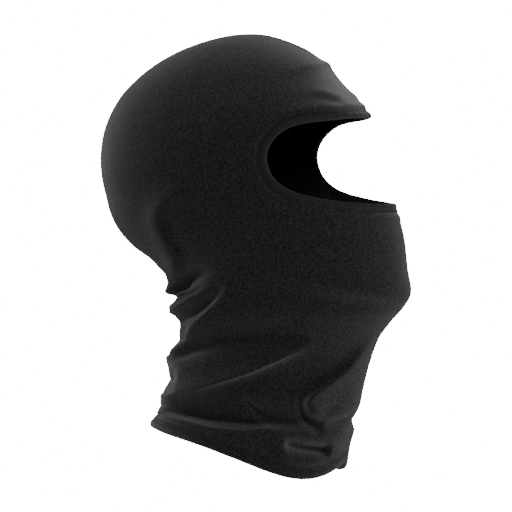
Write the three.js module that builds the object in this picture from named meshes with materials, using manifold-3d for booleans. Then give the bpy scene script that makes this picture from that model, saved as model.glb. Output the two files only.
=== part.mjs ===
// A one-hole fleece balaclava in the shape it has on a head that is tipped back a little.
// Millimetres, +Z up. The face looks along -Y, and +X is the wearer's left.
// The origin is the middle of the head, between the ears.
//
// The fleece is cut in one piece, folded down the centre front and closed by one seam, which
// starts above the forehead and runs over the crown and down the nape to the hem. It is kept
// here as its two halves. A folded stretch binding with an elastic inside closes the raw edge
// of the face opening, and the hem is turned up and sewn with two rows of stitches.

import * as THREE from 'three';
import { mergeVertices } from 'three/addons/utils/BufferGeometryUtils.js';
import Module from 'manifold-3d';

const wasm = await Module();
wasm.setup();

// ---------------------------------------------------------------- driving dimensions

const crownHeight = 120; // the crown above the middle of the head
const frontDrop = 197; // the hem at the centre front below the middle of the head
const headLength = 202; // brow to the back of the head
const headWidth = 156; // over the widest part of the head
const neckWidth = 130; // over the hem

const fleeceThickness = 1.8;
const clearance = 0.5; // between layers that touch on the real hood

const openingHeight = 65; // at the centre of the face
const openingHalfAngle = 70; // degrees round from the centre of the face to its corner
const openingCentreLift = 25.5; // above the origin, at the centre of the face
const openingCornerDrop = 5; // how far the corners lie below that

const bindingDepth = 7; // from the folded edge back over the fleece
const bindingThickness = 0.9; // of each of its two layers
const bindingEase = 1.4; // between the fleece and each of those layers
const elasticWidth = 1.8;
const elasticThickness = 1.2;

const hemDepth = 10; // height of the turned-up hem
const hemRowInset = 1.6; // the upper row of stitches, below the turned-up edge
const hemRowSpacing = 2.4; // between the two rows
const hemSag = 17; // how far the hem hangs down beside the centre front

const seamStartAngle = 0; // the crown seam lies in the middle of the hood
const allowanceWidth = 5; // the seam allowance, laid flat on the inside
const allowanceThickness = 2.6; // two layers of fleece, pressed
const tightestNape = 8; // the smallest radius across the seam that the allowance lies on
const threadThickness = 0.6;

const labelWidth = 22;
const labelLength = 30;
const labelThickness = 0.5; // of each of its two layers
const labelRise = 57.5; // its sewn end, above the hem at the back

// Facets of the solids
const columns = 26; // round one half of the fleece
const rows = 40; // crown to hem
const openingSteps = 84;
const hemSteps = 48;

// ---------------------------------------------------------------- the shape of the hood

// Rings from the crown to the hem. front and back are where the ring crosses the middle of the
// hood, as shares of the head's length and of the crown's height or, below the origin, of the
// front's drop. half is its half-width as shares of the head's and of the neck's width. narrow
// draws its front in and its back out, and square, from 2 for an ellipse, makes its front
// squarer.
const rings = [
  { front: [-0.059, 1.002], back: [-0.059, 1.002], half: [0.0, 0], narrow: 0.05, square: 2.0 },
  { front: [-0.158, 1.002], back: [0.04, 0.967], half: [0.128, 0], narrow: 0.05, square: 2.0 },
  { front: [-0.248, 0.963], back: [0.139, 0.911], half: [0.244, 0], narrow: 0.06, square: 2.0 },
  { front: [-0.328, 0.888], back: [0.233, 0.829], half: [0.333, 0], narrow: 0.08, square: 2.1 },
  { front: [-0.384, 0.808], back: [0.312, 0.729], half: [0.397, 0], narrow: 0.1, square: 2.2 },
  { front: [-0.444, 0.7], back: [0.382, 0.604], half: [0.446, 0], narrow: 0.12, square: 2.3 },
  { front: [-0.504, 0.596], back: [0.435, 0.438], half: [0.481, 0], narrow: 0.12, square: 2.35 },
  { front: [-0.565, 0.487], back: [0.457, 0.275], half: [0.497, 0], narrow: 0.12, square: 2.3 },
  { front: [-0.612, 0.317], back: [0.448, 0.12], half: [0.497, 0], narrow: 0.12, square: 2.15 },
  { front: [-0.648, 0.083], back: [0.427, -0.023], half: [0.484, 0], narrow: 0.11, square: 2.05 },
  { front: [-0.678, -0.051], back: [0.388, -0.12], half: [0.465, 0], narrow: 0.1, square: 2.0 },
  { front: [-0.707, -0.167], back: [0.324, -0.198], half: [0.446, 0], narrow: 0.1, square: 2.0 },
  { front: [-0.72, -0.279], back: [0.256, -0.256], half: [0.426, 0], narrow: 0.12, square: 2.0 },
  { front: [-0.734, -0.371], back: [0.2, -0.325], half: [0.203, 0.244], narrow: 0.14, square: 2.0 },
  { front: [-0.703, -0.432], back: [0.181, -0.396], half: [0, 0.469], narrow: 0.17, square: 2.0 },
  { front: [-0.651, -0.492], back: [0.176, -0.467], half: [0, 0.454], narrow: 0.2, square: 2.0 },
  { front: [-0.597, -0.568], back: [0.173, -0.538], half: [0, 0.443], narrow: 0.22, square: 2.0 },
  { front: [-0.566, -0.645], back: [0.178, -0.614], half: [0, 0.438], narrow: 0.22, square: 2.0 },
  { front: [-0.548, -0.726], back: [0.188, -0.695], half: [0, 0.446], narrow: 0.19, square: 2.0 },
  { front: [-0.531, -0.812], back: [0.213, -0.772], half: [0, 0.462], narrow: 0.15, square: 2.05 },
  { front: [-0.506, -0.899], back: [0.236, -0.832], half: [0, 0.481], narrow: 0.11, square: 2.1 },
  { front: [-0.468, -1.0], back: [0.258, -0.891], half: [0, 0.5], narrow: 0.08, square: 2.15 },
];
const crownSeamRing = 3.55; // the seam starts here on the forehead, counted in rings
const hemFlareRings = 3; // how many rings up the hem's sag reaches
const sagAngle = 47; // degrees from the centre front to where the hem hangs lowest
const sagSpread = 30;

const curveThrough = (point) =>
  new THREE.CatmullRomCurve3(
    rings.map((ring) => point(ring)),
    false,
    'centripetal',
  );
const middlePoint = ([y, z]) =>
  new THREE.Vector3(0, y * headLength, z * (z > 0 ? crownHeight : frontDrop));
const frontCurve = curveThrough((ring) => middlePoint(ring.front));
const backCurve = curveThrough((ring) => middlePoint(ring.back));
const shapeCurve = new THREE.CatmullRomCurve3(
  rings.map(({ half: [head, neck], narrow, square }) => {
    return new THREE.Vector3(head * headWidth + neck * neckWidth, narrow, square);
  }),
  false,
  'catmullrom',
  0.5,
);
const lastRing = rings.length - 1;
const radians = THREE.MathUtils.degToRad;

// How far the hem hangs below its ring at an angle.
function sagAt(angle) {
  const bell = (centre) => Math.exp(-(((angle - centre) / radians(sagSpread)) ** 2) / 2);
  return hemSag * (bell(radians(sagAngle)) + bell(-radians(sagAngle)));
}

// A point of the fleece's outer face. angle is 0 at the centre front and a half turn at the
// centre back, positive on the wearer's left, and v runs from 0 at the crown to 1 at the hem.
function outerPoint(angle, v) {
  const front = frontCurve.getPoint(v);
  const back = backCurve.getPoint(v);
  const { x: half, y: narrow, z: square } = shapeCurve.getPoint(v);
  const turn = Math.atan2(Math.sin(angle), Math.cos(angle));
  const along = Math.cos(turn);
  const power = along > 0 ? 2 / square : 1;
  const across = Math.sign(turn) * Math.abs(Math.sin(turn)) ** power;
  const reach = Math.sign(along) * Math.abs(along) ** power;
  const point = front.clone().add(back).multiplyScalar(0.5);
  point.addScaledVector(front.clone().sub(back), reach / 2);
  point.x = half * across * (1 - narrow * along);
  const flare = THREE.MathUtils.smoothstep(v * lastRing, lastRing - hemFlareRings, lastRing);
  point.z -= sagAt(turn) * flare;
  return point;
}

// The outward normal there. Steps are halved away from the centre line, so that the two sides
// of a ring keep mirrored normals.
function outerNormal(angle, v) {
  const step = 2e-3;
  const at = THREE.MathUtils.clamp(v, 4 * step, 1 - step);
  const round = outerPoint(angle + 5 * step, at).sub(outerPoint(angle - 5 * step, at));
  const down = outerPoint(angle, at + step).sub(outerPoint(angle, at - step));
  return down.cross(round).normalize();
}

// A point at a distance from the outer face, positive outwards.
const layerPoint = (angle, v, distance) =>
  outerPoint(angle, v).addScaledVector(outerNormal(angle, v), distance);

// Halves an interval until it holds the value at which test stops being true.
function bisect(low, high, test) {
  for (let i = 0; i < 40; i += 1) {
    const middle = (low + high) / 2;
    if (test(middle)) low = middle;
    else high = middle;
  }
  return (low + high) / 2;
}

// v at a height above the origin, and v at a distance up the fleece from the hem's edge.
const vAtHeight = (angle, z) => bisect(0.02, 1, (v) => outerPoint(angle, v).z > z);
function vAboveHem(angle, distance) {
  const edge = outerPoint(angle, 1);
  return bisect(0.8, 1, (v) => outerPoint(angle, v).distanceTo(edge) > distance);
}

// ---------------------------------------------------------------- solids from points

// A closed mesh from a grid of points with two open sides. grid[i][j] runs along i and round j,
// which closes on itself. loop closes i as well, and otherwise both ends get flat caps.
function tubeGeometry(grid, loop) {
  const around = grid[0].length;
  const positions = grid.flat().flatMap((p) => [p.x, p.y, p.z]);
  const index = [];
  const at = (i, j) => (i % grid.length) * around + (j % around);
  const spans = loop ? grid.length : grid.length - 1;
  for (let i = 0; i < spans; i += 1) {
    for (let j = 0; j < around; j += 1) {
      index.push(at(i, j), at(i + 1, j), at(i + 1, j + 1));
      index.push(at(i, j), at(i + 1, j + 1), at(i, j + 1));
    }
  }
  if (!loop) {
    for (let j = 1; j < around - 1; j += 1) {
      index.push(at(0, 0), at(0, j), at(0, j + 1));
      index.push(at(spans, 0), at(spans, j + 1), at(spans, j));
    }
  }
  return facingOut(positions, index);
}

// Geometry from positions and triangles, turned over if its faces point inwards.
function facingOut(positions, index) {
  const geometry = new THREE.BufferGeometry();
  geometry.setAttribute('position', new THREE.Float32BufferAttribute(positions, 3));
  let volume = 0;
  const corner = (k) => new THREE.Vector3().fromArray(positions, 3 * index[k]);
  for (let k = 0; k < index.length; k += 3) {
    volume += corner(k).dot(corner(k + 1).cross(corner(k + 2)));
  }
  if (volume < 0) {
    for (let k = 0; k < index.length; k += 3) {
      [index[k + 1], index[k + 2]] = [index[k + 2], index[k + 1]];
    }
  }
  geometry.setIndex(index);
  return geometry;
}

function toSolid(geometry) {
  const plain = geometry.clone();
  plain.deleteAttribute('normal');
  plain.deleteAttribute('uv');
  const merged = mergeVertices(plain, 1e-4);
  return new wasm.Manifold(
    new wasm.Mesh({
      numProp: 3,
      vertProperties: merged.attributes.position.array,
      triVerts: new Uint32Array(merged.index.array),
    }),
  );
}

function toGeometry(solid) {
  const mesh = solid.getMesh();
  const geometry = new THREE.BufferGeometry();
  geometry.setAttribute('position', new THREE.BufferAttribute(mesh.vertProperties, 3));
  geometry.setIndex(new THREE.BufferAttribute(mesh.triVerts, 1));
  return geometry;
}

// ---------------------------------------------------------------- the face opening

// The edge of the opening, as [angle, v]: a superellipse round the face, squarer below. fraction
// runs once round it from the corner on the wearer's left, over the top.
function openingPlace(fraction) {
  const turn = 2 * Math.PI * fraction;
  const square = Math.sin(turn) > 0 ? 2.7 : 3.4;
  const across = Math.sign(Math.cos(turn)) * Math.abs(Math.cos(turn)) ** (2 / square);
  const up = Math.sign(Math.sin(turn)) * Math.abs(Math.sin(turn)) ** (2 / square);
  const angle = radians(openingHalfAngle) * across;
  const middle = openingCentreLift - openingCornerDrop * Math.abs(across) ** 2;
  return [angle, vAtHeight(angle, middle + (openingHeight / 2) * up)];
}

// Places evenly spaced round the opening, each with its point on the fleece, the fleece's
// normal, and the direction along the fleece away from the opening.
function openingFrames(steps) {
  const fine = 720;
  const places = Array.from({ length: fine }, (_, i) => openingPlace(i / fine));
  const points = places.map(([angle, v]) => outerPoint(angle, v));
  const lengths = [0];
  points.forEach((p, i) => lengths.push(lengths[i] + p.distanceTo(points[(i + 1) % fine])));
  const frames = [];
  for (let k = 0, i = 0; k < steps; k += 1) {
    const wanted = (k / steps) * lengths[fine];
    while (lengths[i + 1] < wanted) i += 1;
    const share = (wanted - lengths[i]) / (lengths[i + 1] - lengths[i]);
    const [angle, v] = openingPlace((i + share) / fine);
    frames.push({ point: outerPoint(angle, v), normal: outerNormal(angle, v) });
  }
  return frames.map(({ point, normal }, k) => {
    const next = frames[(k + 1) % steps].point;
    const last = frames[(k + steps - 1) % steps].point;
    const along = next.clone().sub(last).normalize();
    const away = along.clone().cross(normal).normalize();
    const middle = new THREE.Vector3(0, point.y, openingCentreLift);
    if (away.dot(point.clone().sub(middle)) < 0) away.negate();
    return { point, normal, away };
  });
}

const frames = openingFrames(openingSteps);
const fleeceEdge = bindingThickness + clearance + elasticWidth + bindingEase; // from the fold

// A ring round the opening with a section given as [distance from the fold, height above the
// middle of the fleece].
function openingRing(section) {
  const grid = frames.map(({ point, normal, away }) =>
    section.map(([outward, height]) =>
      point
        .clone()
        .addScaledVector(away, outward)
        .addScaledVector(normal, height - fleeceThickness / 2),
    ),
  );
  return tubeGeometry(grid, true);
}

// Everything in front of the head inside the fleece's edge, to cut the opening with.
function openingCutter() {
  const inside = 0.55;
  const outside = 2;
  const heart = new THREE.Vector3(0, -10, openingCentreLift);
  const edge = frames.map(({ point, away }) => point.clone().addScaledVector(away, fleeceEdge));
  const loops = [inside, outside].map((share) => edge.map((p) => p.clone().lerp(heart, 1 - share)));
  const centre = new THREE.Vector3(0, frontCurve.getPoint(0.4).y, openingCentreLift);
  const middles = [inside, outside].map((share) => centre.clone().lerp(heart, 1 - share));
  const positions = [...loops.flat(), ...middles].flatMap((p) => [p.x, p.y, p.z]);
  const count = edge.length;
  const index = [];
  for (let i = 0; i < count; i += 1) {
    const next = (i + 1) % count;
    index.push(i, next, count + next, i, count + next, count + i);
    index.push(next, i, 2 * count, count + i, count + next, 2 * count + 1);
  }
  return facingOut(positions, index);
}

// ---------------------------------------------------------------- the pieces

// One half of the fleece, side 1 on the wearer's left and -1 on the right.
function fleeceHalf(side) {
  const gap = clearance / 2;
  const positions = [];
  const add = (angle, v, distance) => {
    const p = layerPoint(angle, v, distance);
    if (angle === 0 || angle === Math.PI || v === 0) p.x = 0;
    positions.push(side * (Math.abs(p.x) + gap), p.y, p.z);
    return positions.length / 3 - 1;
  };
  const layers = [0, -fleeceThickness].map((distance) => {
    const crown = add(0, 0, distance);
    const grid = [];
    for (let r = 1; r <= rows; r += 1) {
      const line = [];
      for (let c = 0; c <= columns; c += 1) line.push(add((Math.PI * c) / columns, r / rows, distance));
      grid.push(line);
    }
    return { crown, grid };
  });
  const index = [];
  const quad = (a, b, c, d) => index.push(a, b, c, a, c, d);
  const [outer, inner] = layers;
  for (let c = 0; c < columns; c += 1) {
    index.push(outer.crown, outer.grid[0][c], outer.grid[0][c + 1]);
    index.push(inner.crown, inner.grid[0][c + 1], inner.grid[0][c]);
    for (let r = 0; r < rows - 1; r += 1) {
      const [o, p] = [outer.grid[r], outer.grid[r + 1]];
      const [i, j] = [inner.grid[r], inner.grid[r + 1]];
      quad(o[c], p[c], p[c + 1], o[c + 1]);
      quad(i[c + 1], j[c + 1], j[c], i[c]);
    }
    const [o, i] = [outer.grid[rows - 1], inner.grid[rows - 1]];
    quad(o[c], i[c], i[c + 1], o[c + 1]);
  }
  for (const c of [0, columns]) {
    let above = [outer.crown, inner.crown];
    for (let r = 0; r < rows; r += 1) {
      const below = [outer.grid[r][c], inner.grid[r][c]];
      if (c === 0) quad(above[0], above[1], below[1], below[0]);
      else quad(above[1], above[0], below[0], below[1]);
      above = below;
    }
  }
  const whole = toSolid(facingOut(positions, index));
  return toGeometry(whole.subtract(toSolid(openingCutter())));
}

// The folded strip round the opening: two layers, joined at the fold.
function bindingGeometry() {
  const inner = fleeceThickness / 2 + bindingEase;
  const outer = inner + bindingThickness;
  const chamfer = bindingThickness;
  return openingRing([
    [0, -(outer - chamfer)],
    [chamfer, -outer],
    [bindingDepth, -outer],
    [bindingDepth, -inner],
    [bindingThickness, -inner],
    [bindingThickness, inner],
    [bindingDepth, inner],
    [bindingDepth, outer],
    [chamfer, outer],
    [0, outer - chamfer],
  ]);
}

function elasticGeometry() {
  const near = bindingThickness + clearance;
  const far = near + elasticWidth;
  const half = elasticThickness / 2;
  return openingRing([
    [near, -half],
    [far, -half],
    [far, half],
    [near, half],
  ]);
}

// A round thread's section, about [0, 0].
const threadSection = Array.from({ length: 6 }, (_, i) => {
  const turn = (2 * Math.PI * i) / 6;
  return [(threadThickness / 2) * Math.cos(turn), (threadThickness / 2) * Math.sin(turn)];
});

// The stitching that closes the binding, laid on its outer layer near the raw edge.
function bindingThread() {
  const inset = bindingDepth - 1.5;
  const height = fleeceThickness / 2 + bindingEase + bindingThickness + clearance;
  const rise = height + threadThickness / 2;
  return openingRing(threadSection.map(([across, up]) => [inset + across, rise + up]));
}

const hemAngle = (i) => -Math.PI + (2 * Math.PI * i) / hemSteps;

// The fleece's edge turned up inside the hem.
function hemFold() {
  const near = -(fleeceThickness + clearance);
  const far = near - fleeceThickness;
  const levels = [hemDepth, hemDepth / 2, 0];
  const grid = Array.from({ length: hemSteps }, (_, i) => {
    const angle = hemAngle(i);
    const places = levels.map((height) => (height ? vAboveHem(angle, height) : 1));
    const side = (distance) => places.map((v) => layerPoint(angle, v, distance));
    return [...side(near), ...side(far).reverse()];
  });
  return tubeGeometry(grid, true);
}

const upperRow = hemDepth - hemRowInset;

// One row of hem stitches, laid on the outside.
function hemThread(height) {
  const lift = clearance + threadThickness / 2;
  const grid = Array.from({ length: hemSteps }, (_, i) => {
    const angle = hemAngle(i);
    return threadSection.map(([up, out]) =>
      layerPoint(angle, vAboveHem(angle, height + up), lift + out),
    );
  });
  return tubeGeometry(grid, true);
}

// Points down the middle of the hood, from the seam's start on the forehead over the crown to
// just above the hem, each with the outward normal.
function seamPath() {
  const path = [];
  const start = crownSeamRing / lastRing;
  const end = vAboveHem(Math.PI, hemDepth + 2 * clearance);
  const frontSteps = 8;
  const backSteps = 44;
  for (let i = 0; i < frontSteps; i += 1) path.push([seamStartAngle, start * (1 - i / frontSteps)]);
  for (let i = 1; i <= backSteps; i += 1) path.push([Math.PI, (end * i) / backSteps]);
  return path.map(([angle, v]) => {
    const point = outerPoint(angle, v);
    const normal = outerNormal(angle, v);
    point.x = 0;
    normal.x = 0;
    return { point, normal: normal.normalize() };
  });
}

// A strip along the seam with a section given as [distance to the wearer's left, height above
// the outer face].
function seamStrip(section) {
  const grid = seamPath().map(({ point, normal }) =>
    section.map(([across, height]) => {
      const p = point.clone().addScaledVector(normal, height);
      p.x += across;
      return p;
    }),
  );
  return tubeGeometry(grid, false);
}

// Both raw edges of the seam, pressed to the wearer's left on the inside. The hood curves away
// from a flat strip, so the strip's outer side is set in by that much.
const allowanceTop = -(fleeceThickness + clearance);
function seamAllowance() {
  const curveIn = allowanceWidth ** 2 / (8 * tightestNape);
  return seamStrip([
    [-allowanceWidth / 2, allowanceTop - allowanceThickness],
    [allowanceWidth / 2, allowanceTop - allowanceThickness],
    [allowanceWidth / 2, allowanceTop - curveIn],
    [-allowanceWidth / 2, allowanceTop - curveIn],
  ]);
}

// The overlock thread along the allowance's free edge.
function seamThread() {
  const across = allowanceWidth / 2 + clearance + threadThickness / 2;
  const height = allowanceTop - allowanceThickness / 2 - threadThickness;
  return seamStrip(threadSection.map(([out, up]) => [across + out, height + up]));
}

// A blank label, folded in two, that hangs inside the nape from the seam.
function labelGeometry() {
  const sewnEnd = outerPoint(Math.PI, 1).z + labelRise;
  const nape = outerPoint(Math.PI, vAtHeight(Math.PI, sewnEnd));
  const inside = fleeceThickness + allowanceThickness + threadThickness + 4 * clearance;
  const layer = labelThickness;
  const loop = 2 * clearance;
  const outline = new THREE.Shape();
  outline.moveTo(0, 0);
  outline.lineTo(0, -labelLength);
  outline.absarc(-(layer + loop / 2), -labelLength, layer + loop / 2, 0, -Math.PI, true);
  outline.lineTo(-(2 * layer + loop), 0);
  outline.lineTo(-(layer + loop), 0);
  outline.lineTo(-(layer + loop), -labelLength);
  outline.absarc(-(layer + loop / 2), -labelLength, loop / 2, Math.PI, 2 * Math.PI, false);
  outline.lineTo(-layer, 0);
  outline.closePath();
  const geometry = new THREE.ExtrudeGeometry(outline, {
    depth: labelWidth,
    bevelEnabled: false,
    curveSegments: 6,
  });
  geometry.applyMatrix4(
    new THREE.Matrix4().makeBasis(
      new THREE.Vector3(0, 1, 0),
      new THREE.Vector3(0, 0, 1),
      new THREE.Vector3(1, 0, 0),
    ),
  );
  geometry.translate(-labelWidth / 2, nape.y - inside, sewnEnd);
  return geometry;
}

// ---------------------------------------------------------------- the assembly

const fleece = new THREE.MeshStandardMaterial({ color: 0x1c1b1c, roughness: 0.95, metalness: 0 });
const jersey = new THREE.MeshStandardMaterial({ color: 0x202123, roughness: 0.8, metalness: 0 });
const thread = new THREE.MeshStandardMaterial({ color: 0x17171a, roughness: 0.6, metalness: 0 });
const rubber = new THREE.MeshStandardMaterial({ color: 0x2a2a2c, roughness: 0.7, metalness: 0 });
const satin = new THREE.MeshStandardMaterial({ color: 0x35353a, roughness: 0.45, metalness: 0 });

const balaclava = new THREE.Group();

function addPiece(name, geometry, material) {
  const mesh = new THREE.Mesh(geometry, material);
  mesh.name = name;
  balaclava.add(mesh);
}

addPiece('fleece_right', fleeceHalf(-1), fleece);
addPiece('fleece_left', fleeceHalf(1), fleece);
addPiece('face_binding', bindingGeometry(), jersey);
addPiece('face_elastic', elasticGeometry(), rubber);
addPiece('face_binding_thread', bindingThread(), thread);
addPiece('crown_seam_allowance', seamAllowance(), fleece);
addPiece('crown_seam_thread', seamThread(), thread);
addPiece('hem_fold', hemFold(), fleece);
addPiece('hem_thread_lower', hemThread(upperRow - hemRowSpacing), thread);
addPiece('hem_thread_upper', hemThread(upperRow), thread);
addPiece('care_label', labelGeometry(), satin);

export default balaclava;
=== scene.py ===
"""A one-hole fleece balaclava in the shape it has on a head that is tipped back a little.

The cloth starts from the same rings as the solids, and the folds are laid on it along crest
lines, given in the side plane that the camera sees square on: forward and up, in millimetres.
"""
import math

import bpy
import numpy as np
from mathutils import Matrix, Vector


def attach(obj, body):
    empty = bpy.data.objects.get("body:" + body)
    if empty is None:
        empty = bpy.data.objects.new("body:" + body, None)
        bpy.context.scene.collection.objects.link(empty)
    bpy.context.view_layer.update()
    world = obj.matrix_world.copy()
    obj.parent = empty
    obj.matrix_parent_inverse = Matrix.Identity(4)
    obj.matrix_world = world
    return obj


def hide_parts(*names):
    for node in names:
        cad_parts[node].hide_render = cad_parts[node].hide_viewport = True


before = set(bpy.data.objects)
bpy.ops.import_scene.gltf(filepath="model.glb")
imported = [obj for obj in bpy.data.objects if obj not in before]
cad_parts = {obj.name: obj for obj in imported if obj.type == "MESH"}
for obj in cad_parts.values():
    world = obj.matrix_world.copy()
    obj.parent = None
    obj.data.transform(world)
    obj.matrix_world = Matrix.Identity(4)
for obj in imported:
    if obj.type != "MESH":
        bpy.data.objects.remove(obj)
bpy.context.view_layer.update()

MM = 0.001
VIEW_TURN = math.radians(17)  # the camera is this far in front of the wearer's right side
VIEW_RISE = math.radians(2)

# ---------------------------------------------------------------- sizes, as in the solids

CROWN_HEIGHT = 120.0
FRONT_DROP = 197.0
HEAD_LENGTH = 202.0
HEAD_WIDTH = 156.0
NECK_WIDTH = 130.0
FLEECE_THICKNESS = 1.8
HEM_DEPTH = 10.0
HEM_ROWS = (6.0, 8.4)
HEM_SAG = 17.0
SAG_ANGLE = 47.0
SAG_SPREAD = 30.0
FLARE_RINGS = 3

# front y and z, back y and z, half-width of the head and of the neck, narrowing, squareness
RINGS = np.array([
    (-0.059, 1.002, -0.059, 1.002, 0.0, 0, 0.05, 2.0),
    (-0.158, 1.002, 0.04, 0.967, 0.128, 0, 0.05, 2.0),
    (-0.248, 0.963, 0.139, 0.911, 0.244, 0, 0.06, 2.0),
    (-0.348, 0.888, 0.233, 0.829, 0.333, 0, 0.08, 2.2),
    (-0.405, 0.808, 0.312, 0.729, 0.397, 0, 0.1, 2.45),
    (-0.457, 0.7, 0.382, 0.604, 0.446, 0, 0.12, 2.65),
    (-0.516, 0.596, 0.435, 0.438, 0.481, 0, 0.12, 2.7),
    (-0.572, 0.487, 0.457, 0.275, 0.497, 0, 0.12, 2.55),
    (-0.612, 0.317, 0.456, 0.12, 0.497, 0, 0.12, 2.15),
    (-0.648, 0.083, 0.437, -0.023, 0.484, 0, 0.11, 2.05),
    (-0.678, -0.051, 0.403, -0.12, 0.465, 0, 0.1, 2.0),
    (-0.707, -0.167, 0.338, -0.198, 0.446, 0, 0.1, 2.0),
    (-0.72, -0.279, 0.256, -0.256, 0.426, 0, 0.12, 2.0),
    (-0.734, -0.371, 0.2, -0.325, 0.203, 0.244, 0.14, 2.0),
    (-0.703, -0.432, 0.181, -0.396, 0, 0.469, 0.17, 2.0),
    (-0.651, -0.492, 0.176, -0.467, 0, 0.454, 0.2, 2.0),
    (-0.597, -0.568, 0.173, -0.538, 0, 0.443, 0.22, 2.0),
    (-0.566, -0.645, 0.178, -0.614, 0, 0.438, 0.22, 2.0),
    (-0.548, -0.726, 0.188, -0.695, 0, 0.446, 0.19, 2.0),
    (-0.531, -0.812, 0.213, -0.772, 0, 0.462, 0.15, 2.05),
    (-0.498, -0.899, 0.236, -0.832, 0, 0.481, 0.11, 2.1),
    (-0.482, -1.0, 0.258, -0.891, 0, 0.5, 0.08, 2.15),
])
LAST_RING = len(RINGS) - 1


def through(points, t):
    """Smooth interpolation of rows of numbers at t from 0 to 1."""
    points = np.asarray(points, float)
    n = len(points) - 1
    x = np.clip(np.asarray(t, float), 0, 1) * n
    i = np.minimum(x.astype(int), n - 1)
    f = (x - i)[..., None]
    padded = np.vstack([2 * points[0] - points[1], points, 2 * points[-1] - points[-2]])
    a, b, c, d = (padded[i + k] for k in range(4))
    return b + f / 2 * (c - a + f * (2 * a - 5 * b + 4 * c - d + f * (3 * (b - c) + d - a)))


def smoothstep(x, low, high):
    """0 below low, 1 above high and a smooth rise between them."""
    t = np.clip((x - low) / (high - low), 0, 1)
    return t * t * (3 - 2 * t)


def bell(x, width):
    """1 at zero, falling smoothly away over the width."""
    return np.exp(-(x / width) ** 2)


def base_point(angle, v):
    """The fleece's outer face in mm: angle is 0 at the centre front, v runs from crown to hem."""
    angle, v = np.broadcast_arrays(np.asarray(angle, float), np.asarray(v, float))
    fy, fz, by, bz, head, neck, narrow, square = np.moveaxis(through(RINGS, v), -1, 0)
    rise = lambda z: z * np.where(z > 0, CROWN_HEIGHT, FRONT_DROP)
    front = np.stack([np.zeros_like(fy), fy * HEAD_LENGTH, rise(fz)], -1)
    back = np.stack([np.zeros_like(by), by * HEAD_LENGTH, rise(bz)], -1)
    turn = np.arctan2(np.sin(angle), np.cos(angle))
    along, beside = np.cos(turn), np.sin(turn)
    power = np.where(along > 0, 2 / square, 1.0)
    across = np.sign(beside) * np.abs(beside) ** power
    reach = np.sign(along) * np.abs(along) ** power
    point = (front + back) / 2 + (front - back) / 2 * reach[..., None]
    half = head * HEAD_WIDTH + neck * NECK_WIDTH
    point[..., 0] = half * across * (1 - narrow * along)
    flare = smoothstep(v * LAST_RING, LAST_RING - FLARE_RINGS, LAST_RING)
    spread = math.radians(SAG_SPREAD) * math.sqrt(2)
    sag = bell(np.abs(turn) - math.radians(SAG_ANGLE), spread)
    point[..., 2] -= HEM_SAG * sag * flare
    return point


# ---------------------------------------------------------------- the grid of the cloth

COLUMNS = 330  # even, so that the inner layer can use every second one
ROWS = 241  # odd, for the same reason
HEAD_SHARE = 0.37  # of the rows that are above the nape
NAPE_RING = 11.0
ROW_EASE = 24  # rows over which the change of spacing is eased
FIRST_ROW = 1 / ROWS * 0.8  # v of the row next to the crown
SIDE_BUNCHING = 0.6  # how much closer together the columns are on the two sides
SIDE_SPREAD = math.radians(45)


def rows_to_v(row):
    """Rows are closer together in the neck, where the folds are."""
    nape = NAPE_RING / LAST_RING
    return np.where(row < HEAD_SHARE, row / HEAD_SHARE * nape,
                    nape + (row - HEAD_SHARE) / (1 - HEAD_SHARE) * (1 - nape))


def eased(rows):
    """The rows' places with a gradual change of spacing, from the first row to the hem."""
    before = 2 * rows[0] - rows[ROW_EASE:0:-1]
    after = 2 * rows[-1] - rows[-2:-ROW_EASE - 2:-1]
    window = np.ones(ROW_EASE + 1) / (ROW_EASE + 1)
    rows = np.convolve(np.concatenate([before, rows, after]), window, "same")[ROW_EASE:-ROW_EASE]
    return (rows - rows[0]) / (rows[-1] - rows[0]) * (1 - FIRST_ROW) + FIRST_ROW


def column_angles():
    """The columns' angles from back to back, closer together on the two sides."""
    all_round = np.linspace(-math.pi, math.pi, 2001)
    density = 1 + SIDE_BUNCHING * bell(np.abs(all_round) - math.radians(90), SIDE_SPREAD)
    passed = np.concatenate([[0], np.cumsum((density[1:] + density[:-1]) / 2)])
    return np.interp(np.arange(COLUMNS) / COLUMNS, passed / passed[-1], all_round)


V = eased(rows_to_v(np.arange(1, ROWS + 1) / ROWS))
ANGLE = column_angles()
AA, VV = np.meshgrid(ANGLE, V)
cloth = base_point(AA, VV)  # ROWS x COLUMNS x 3


def grid_normals(grid):
    """The outward direction at every point of a grid."""
    round_it = np.roll(grid, -1, 1) - np.roll(grid, 1, 1)
    down = np.gradient(grid, axis=0)
    normal = np.cross(down, round_it)
    return normal / np.maximum(np.linalg.norm(normal, axis=-1, keepdims=True), 1e-9)


VIEW_DISTANCE = 2600.0
VIEW_AIM = (26.6, -47.1)  # forward and up, the middle of the picture
CAMERA_RIGHT = np.array([math.sin(VIEW_TURN), -math.cos(VIEW_TURN), 0])
TO_CAMERA = np.array([-math.cos(VIEW_TURN) * math.cos(VIEW_RISE),
                   -math.sin(VIEW_TURN) * math.cos(VIEW_RISE),
                   math.sin(VIEW_RISE)])


def side_plane(points):
    """Forward and up as the camera sees the wearer's right side, mirrored for the left."""
    x, y, z = -np.abs(points[..., 0]), points[..., 1], points[..., 2]
    towards = -x * math.cos(VIEW_TURN) - y * math.sin(VIEW_TURN)
    forward = x * math.sin(VIEW_TURN) - y * math.cos(VIEW_TURN) - VIEW_AIM[0]
    up = (z - VIEW_AIM[1]) * math.cos(VIEW_RISE) - towards * math.sin(VIEW_RISE)
    towards = towards * math.cos(VIEW_RISE) + (z - VIEW_AIM[1]) * math.sin(VIEW_RISE)
    nearer = VIEW_DISTANCE / (VIEW_DISTANCE - towards)
    return np.stack([VIEW_AIM[0] + forward * nearer, VIEW_AIM[1] + up * nearer], -1)


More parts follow.
